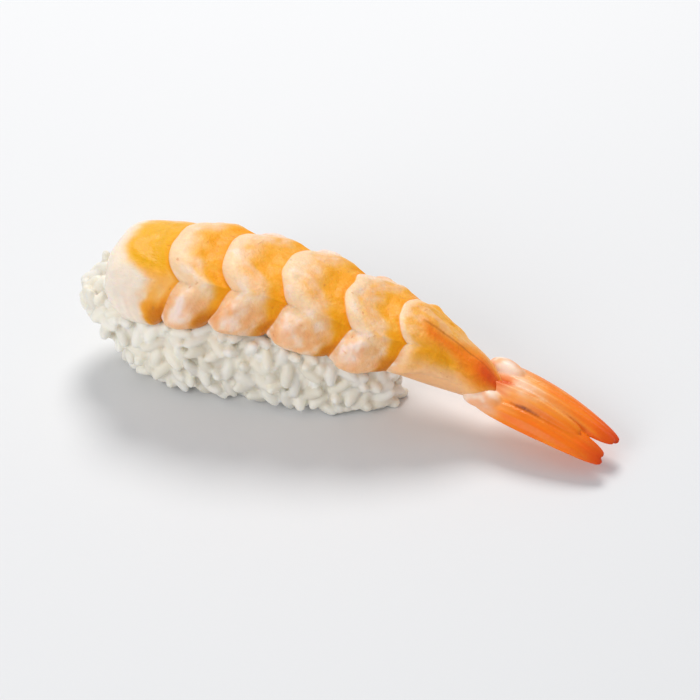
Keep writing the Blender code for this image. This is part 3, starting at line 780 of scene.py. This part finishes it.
def stuck(points, faces, step, softening):
    """One skin round overlapping closed shapes, softened where they meet."""
    mesh = bpy.data.meshes.new("loose")
    mesh.from_pydata((points * MM).tolist(), [], faces)
    loose = bpy.data.objects.new("loose", mesh)
    bpy.context.scene.collection.objects.link(loose)
    skin = loose.modifiers.new("skin", "REMESH")
    skin.mode = "VOXEL"
    skin.voxel_size = step * MM
    soft = loose.modifiers.new("soft", "SMOOTH")
    soft.factor = 0.5
    soft.iterations = softening
    skinned = loose.evaluated_get(bpy.context.evaluated_depsgraph_get()).to_mesh()
    flat = np.zeros(len(skinned.vertices) * 3)
    skinned.vertices.foreach_get("co", flat)
    faces = [list(polygon.vertices) for polygon in skinned.polygons]
    bpy.data.objects.remove(loose)
    bpy.data.meshes.remove(mesh)
    return flat.reshape(-1, 3) / MM, faces


def grain_colours(points, grains, dice):
    """Each grain's own slight shade of white, taken by the points nearest to it."""
    shades = []
    tree = KDTree(BALLS * len(grains))
    for number, (centre, turn, length, width, bend) in enumerate(grains):
        brightness, warmth = dice.uniform(*SHADE_SPREAD), dice.uniform(*WARMTH_SPREAD)
        shades.append(np.array(RICE_WHITE) * brightness + np.array(WARMTH) * warmth)
        for ball in grain_chain(centre, turn, length, width):
            tree.insert(ball, number)
    tree.balance()
    return np.array([shades[tree.find(point)[1]] for point in points])


def core_grid():
    """Points and faces of the pressed mass behind the grains."""
    middle, half = (RICE_START + RICE_END) / 2, (RICE_END - RICE_START) / 2 - CORE_INSET
    polar, turn = ring_angles(CORE_RINGS, CORE_SEGMENTS)
    angle = np.arctan2(np.sin(turn), np.cos(turn))
    body = rice_surface(middle - half * np.cos(polar), angle, CORE_INSET)
    ends = rice_surface(np.array([middle - half, middle + half]), np.full(2, math.pi / 2), CORE_INSET)
    ends[:, 1] = along(SWAY, ends[:, 0])
    points = np.concatenate([body.reshape(-1, 3), ends])
    points[:, 2] = np.maximum(points[:, 2], CORE_FLOOR)
    return points, ring_faces(*polar.shape)


# Materials.
SPECULAR = 0.25
COAT_ROUGHNESS = 0.18
GLOSS_PATCHES = 260  # per metre
NOISE_DETAIL = 3
NOISE_RANGE = (0.3, 0.7)  # what the noise mostly keeps between


def set_inputs(node, values):
    for name, value in values.items():
        node.inputs[name].default_value = value


def food_material(name, subsurface, radius, roughness, coat, bumps):
    """A moist surface in the piece's own tint. Radius is in millimetres, for red, green and blue.

    Roughness is (least, most) over its patches, and bumps are (scale per metre, height in metres).
    """
    material = bpy.data.materials.new(name)
    material.use_nodes = True
    nodes, links = material.node_tree.nodes, material.node_tree.links
    shader = nodes["Principled BSDF"]
    tint = nodes.new("ShaderNodeAttribute")
    tint.attribute_name = "tint"
    links.new(tint.outputs["Color"], shader.inputs["Base Color"])
    scattering = {"Subsurface Weight": subsurface, "Subsurface Radius": radius, "Subsurface Scale": MM}
    moisture = {"Specular IOR Level": SPECULAR, "Coat Weight": coat, "Coat Roughness": COAT_ROUGHNESS}
    set_inputs(shader, scattering | moisture)
    place = nodes.new("ShaderNodeTexCoord")
    patches = nodes.new("ShaderNodeTexNoise")
    set_inputs(patches, {"Scale": GLOSS_PATCHES, "Detail": NOISE_DETAIL})
    links.new(place.outputs["Object"], patches.inputs["Vector"])
    gloss = nodes.new("ShaderNodeMapRange")
    set_inputs(gloss, {"From Min": NOISE_RANGE[0], "From Max": NOISE_RANGE[1]})
    set_inputs(gloss, {"To Min": roughness[0], "To Max": roughness[1]})
    links.new(patches.outputs["Fac"], gloss.inputs["Value"])
    links.new(gloss.outputs["Result"], shader.inputs["Roughness"])
    normal = None
    for scale, height in bumps:
        grain = nodes.new("ShaderNodeTexNoise")
        set_inputs(grain, {"Scale": scale, "Detail": NOISE_DETAIL})
        links.new(place.outputs["Object"], grain.inputs["Vector"])
        bump = nodes.new("ShaderNodeBump")
        set_inputs(bump, {"Distance": height, "Strength": 1})
        links.new(grain.outputs["Fac"], bump.inputs["Height"])
        if normal:
            links.new(normal, bump.inputs["Normal"])
        normal = bump.outputs["Normal"]
    links.new(normal, shader.inputs["Normal"])
    return material


def plain_material(name, colour, roughness):
    material = bpy.data.materials.new(name)
    material.use_nodes = True
    shader = material.node_tree.nodes["Principled BSDF"]
    set_inputs(shader, {"Base Color": (*linear(colour), 1), "Roughness": roughness})
    return material


# Stage, light and camera, in metres, watts and degrees.
FLOOR_SIZE = 3  # half a side
FLOOR_COLOUR, FLOOR_ROUGHNESS = (230, 231, 233), 0.7
SKY_COLOUR, SKY_STRENGTH = (0.95, 0.97, 1.0, 1), 0.47
LIGHT_TARGET = (0, 0, 0.01)
LIGHTS = {
    "key": {"place": (-0.12, 0.42, 0.55), "size": 0.30, "power": 3.0, "colour": (1.0, 0.98, 0.95)},
    "fill": {"place": (-0.30, -0.6, 0.40), "size": 0.5, "power": 2.2, "colour": (1.0, 0.99, 0.98)},
}
SENSOR_WIDTH = 36  # in millimetres, as the lens is
CAMERA_ELEVATION, CAMERA_AZIMUTH = 38.3, 16.0
CAMERA_DISTANCE = 0.675
LENS = 205.0
CAMERA_TARGET = Vector((0.0005, -0.001, 0.0095))


def look_from(place, target):
    return (Vector(target) - Vector(place)).to_track_quat("-Z", "Y").to_euler()


def area_light(name, place, size, power, colour):
    light = bpy.data.lights.new(name, "AREA")
    light.shape = "DISK"
    light.size = size
    light.energy = power
    light.color = colour
    lamp = bpy.data.objects.new(name, light)
    lamp.location = place
    lamp.rotation_euler = look_from(place, LIGHT_TARGET)
    bpy.context.scene.collection.objects.link(lamp)


def make_stage():
    bm = bmesh.new()
    bmesh.ops.create_grid(bm, x_segments=1, y_segments=1, size=FLOOR_SIZE)
    mesh = bpy.data.meshes.new("floor")
    bm.to_mesh(mesh)
    bm.free()
    mesh.materials.append(plain_material("floor", FLOOR_COLOUR, FLOOR_ROUGHNESS))
    floor = bpy.data.objects.new("floor", mesh)
    bpy.context.scene.collection.objects.link(floor)
    world = bpy.data.worlds.new("studio")
    bpy.context.scene.world = world
    world.use_nodes = True
    set_inputs(world.node_tree.nodes["Background"], {"Color": SKY_COLOUR, "Strength": SKY_STRENGTH})
    for name, light in LIGHTS.items():
        area_light(name, **light)
    bpy.context.scene.view_settings.view_transform = "Standard"


def make_camera():
    data = bpy.data.cameras.new("camera")
    data.lens = LENS
    data.sensor_width = SENSOR_WIDTH
    data.clip_start, data.clip_end = 0.01, 20
    camera = bpy.data.objects.new("camera", data)
    elevation, azimuth = math.radians(CAMERA_ELEVATION), math.radians(CAMERA_AZIMUTH)
    level = math.cos(elevation)
    back = Vector((math.sin(azimuth) * level, -math.cos(azimuth) * level, math.sin(elevation)))
    camera.location = CAMERA_TARGET + back * CAMERA_DISTANCE
    camera.rotation_euler = look_from(camera.location, CAMERA_TARGET)
    bpy.context.scene.collection.objects.link(camera)
    bpy.context.scene.camera = camera


def build():
    make_stage()
    make_camera()
    flesh_look = food_material(
        "shrimp_flesh",
        subsurface=0.28,
        radius=(1.3, 0.6, 0.25),
        roughness=(0.4, 0.58),
        coat=0.06,
        bumps=[(700, 0.00028), (2600, 0.0001)],
    )
    shell_look = food_material(
        "shrimp_shell",
        subsurface=0.1,
        radius=(0.8, 0.3, 0.1),
        roughness=(0.36, 0.52),
        coat=0.12,
        bumps=[(1600, 0.00006)],
    )
    rice_look = food_material(
        "cooked_rice",
        subsurface=0.6,
        radius=(2.2, 1.9, 1.5),
        roughness=(0.34, 0.5),
        coat=0.15,
        bumps=[(1500, 0.00005)],
    )
    shrimp = new_piece("flesh", *flesh_grid(), flesh_look, "shrimp", "shrimp")
    shell = bmesh.new()
    shell.from_mesh(shrimp.data)
    tree = BVHTree.FromBMesh(shell)
    shell.free()
    new_piece("tail_fan", *tail_fan_grid(), shell_look, "shrimp", "shrimp")
    new_piece("rice_grains", *rice_grid(tree), rice_look, "rice", "rice")


build()
